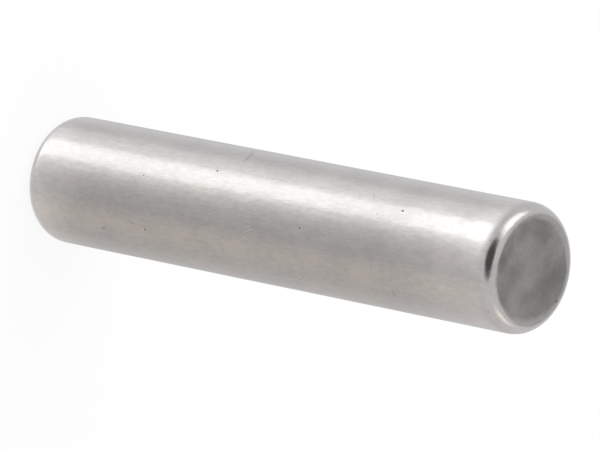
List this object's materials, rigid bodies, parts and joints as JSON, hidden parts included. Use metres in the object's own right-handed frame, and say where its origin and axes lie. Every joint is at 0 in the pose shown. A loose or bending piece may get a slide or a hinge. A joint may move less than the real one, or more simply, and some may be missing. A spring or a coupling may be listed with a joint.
{
  "type": "needle roller",
  "caption": "Long solid steel bearing roller with a plain cylindrical rolling surface, flat ends and rounded corners.",
  "frame": {"origin": "centre of the lower flat end, which the roller stands on", "axes": "+Z along the roller's axis, from the lower end to the upper end"},
  "size_m": [0.005, 0.005, 0.0238],
  "materials": {
    "roller_steel": "fine satin from grinding and tumbling, with small pits, scuffs and duller, blotchy ends"
  },
  "bodies": {
    "root": {"roller": "roller_steel"}
  },
  "joints": []
}
